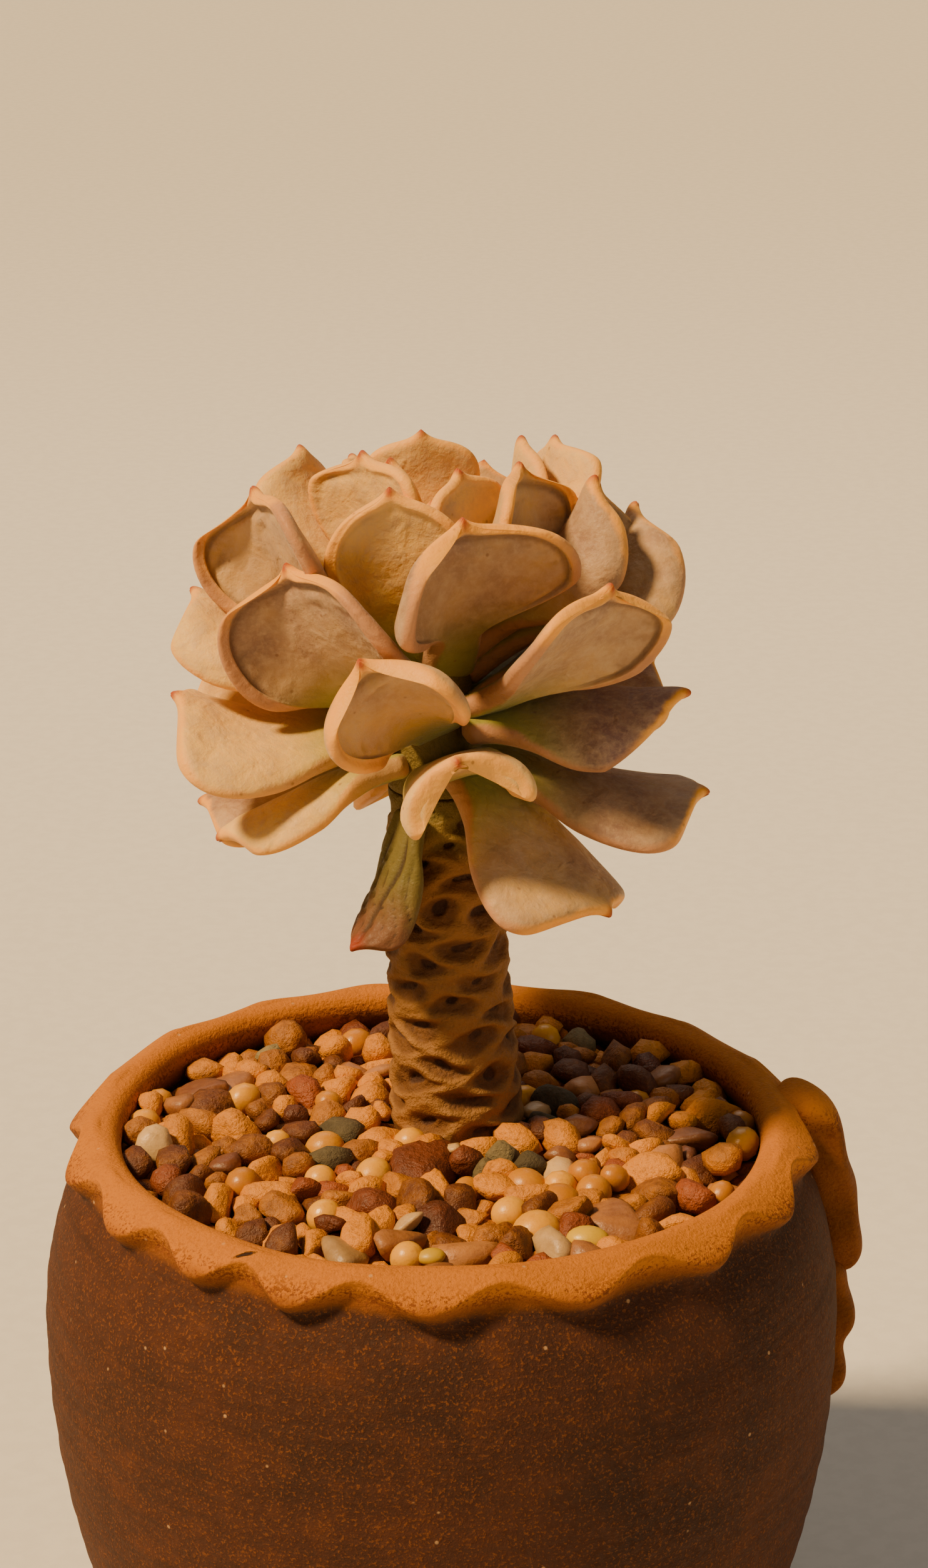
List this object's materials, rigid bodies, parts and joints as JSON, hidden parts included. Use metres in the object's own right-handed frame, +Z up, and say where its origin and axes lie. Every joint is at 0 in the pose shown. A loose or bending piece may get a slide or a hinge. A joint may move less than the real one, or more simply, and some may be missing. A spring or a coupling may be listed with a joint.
{
  "type": "potted succulent",
  "caption": "Succulent rosette of thick cupped leaves with rolled margins on a bare scarred stem, in a squat bulging clay pot with a crimped rim and a topdressing of small stones.",
  "frame": {"origin": "centre of the pot's flat underside, where it stands", "axes": "+Z up along the pot's axis, -Y towards the side seen in the picture, +X to its right; the crimped strip is pressed on near +X"},
  "size_m": [0.1013, 0.0976, 0.1567],
  "materials": {
    "clay": "unglazed fired clay, matte, rim of paler buff",
    "soil": "damp potting soil, crumbly",
    "stones": "loose baked clay granules and small pebbles, matte",
    "bark": "dry stem skin with a raised net round dark leaf scars",
    "leaf": "fleshy leaf under a powdery bloom, satin",
    "dry_leaf": "withered leaf, wrinkled lengthwise"
  },
  "bodies": {
    "root": {"pot": "clay", "potting_soil": "soil", "gravel_topdressing": "stones", "stem": "bark", "rosette": "leaf", "withered_leaf": "dry_leaf"}
  },
  "joints": []
}
